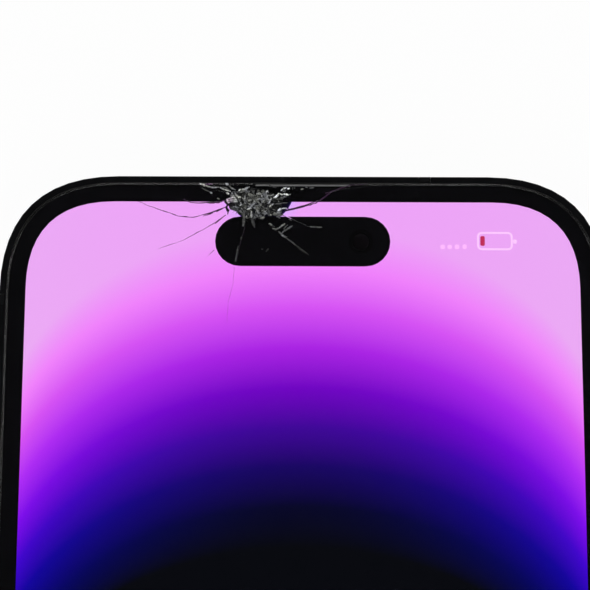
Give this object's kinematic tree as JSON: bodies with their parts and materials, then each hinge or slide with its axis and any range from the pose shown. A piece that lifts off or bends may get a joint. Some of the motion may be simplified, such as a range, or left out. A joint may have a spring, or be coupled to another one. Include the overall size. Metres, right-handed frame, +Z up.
{
  "type": "shattered screen phone",
  "caption": "Slim smartphone lying on its back, with a lit screen, a pill-shaped sensor island and a crushed, cracked spot in the glass near the top edge.",
  "frame": {"origin": "under the middle of the phone, at the level of the rear camera rings that it rests on", "axes": "+X to the right when looking at the screen, +Y towards the top end with the broken spot, +Z up out of the screen"},
  "size_m": [0.0722, 0.1474, 0.0109],
  "materials": {
    "frame_metal": "polished near-black steel",
    "screen_glass": "clear gloss with fine cracks",
    "broken_glass": "crushed and dusty",
    "back_glass": "satin etched glass",
    "screen_ink": "black print under the glass",
    "lit_panel": "lit, pink and violet fading to black",
    "black_plastic": "matt moulded",
    "antenna_plastic": "matt moulded",
    "lens_glass": "dark coated glass",
    "steel": "pressed sheet",
    "cell_wrap": "black film",
    "board": "green solder mask",
    "copper": "wound copper wire",
    "flex_film": "amber film"
  },
  "bodies": {
    "phone": {"mid_frame": "frame_metal", "lens_ring_main": "frame_metal", "lens_ring_ultrawide": "frame_metal", "lens_ring_telephoto": "frame_metal", "cover_glass": "screen_glass", "glass_shard_01": "broken_glass", "glass_shard_02": "broken_glass", "glass_shard_03": "broken_glass", "glass_shard_04": "broken_glass", "glass_shard_05": "broken_glass", "glass_shard_06": "broken_glass", "glass_shard_07": "broken_glass", "glass_shard_08": "broken_glass", "glass_shard_09": "broken_glass", "glass_shard_10": "broken_glass", "glass_shard_11": "broken_glass", "glass_shard_12": "broken_glass", "rear_glass": "back_glass", "border_mask": "screen_ink", "island_mask": "screen_ink", "display_panel": "lit_panel", "display_backplate": "steel", "display_bezel": "black_plastic", "earpiece_mesh": "steel", "earpiece_speaker": "black_plastic", "front_camera": "black_plastic", "depth_sensor_bar": "black_plastic", "antenna_insert_left_upper": "antenna_plastic", "antenna_insert_left_lower": "antenna_plastic", "antenna_insert_right_upper": "antenna_plastic", "antenna_insert_right_lower": "antenna_plastic", "antenna_insert_top": "antenna_plastic", "antenna_insert_bottom": "antenna_plastic", "lens_cover_main": "lens_glass", "lens_cover_ultrawide": "lens_glass", "lens_cover_telephoto": "lens_glass", "flash_lens": "lens_glass", "rangefinder_window": "lens_glass", "main_camera": "black_plastic", "ultrawide_camera": "black_plastic", "telephoto_camera": "black_plastic", "side_button_switch": "steel", "volume_switches": "steel", "card_reader": "steel", "charging_port": "steel", "bottom_screw_left": "steel", "bottom_screw_right": "steel", "battery": "cell_wrap", "logic_board": "board", "board_shield": "steel", "loudspeaker": "black_plastic", "haptic_engine": "steel", "charging_coil": "copper", "magnet_ring": "steel", "port_flex": "flex_film"},
    "side_key": {"side_button": "frame_metal"},
    "volume_up_key": {"volume_up_button": "frame_metal"},
    "volume_down_key": {"volume_down_button": "frame_metal"},
    "ringer_lever": {"ring_switch": "frame_metal"},
    "tray": {"card_tray": "frame_metal"}
  },
  "joints": [
    {"name": "side_button_press", "type": "slide", "parent": "phone", "child": "side_key", "axis": [-1, 0, 0], "range_m": [0, 0.0003], "stiffness_N_per_m": 4000},
    {"name": "volume_up_press", "type": "slide", "parent": "phone", "child": "volume_up_key", "axis": [1, 0, 0], "range_m": [0, 0.0003], "stiffness_N_per_m": 4000},
    {"name": "volume_down_press", "type": "slide", "parent": "phone", "child": "volume_down_key", "axis": [1, 0, 0], "range_m": [0, 0.0003], "stiffness_N_per_m": 4000},
    {"name": "ring_switch_slide", "type": "slide", "parent": "phone", "child": "ringer_lever", "axis": [0, 0, 1], "range_m": [0, 0.0013]},
    {"name": "card_tray_slide", "type": "slide", "parent": "phone", "child": "tray", "axis": [-1, 0, 0], "range_m": [0, 0.016]}
  ]
}
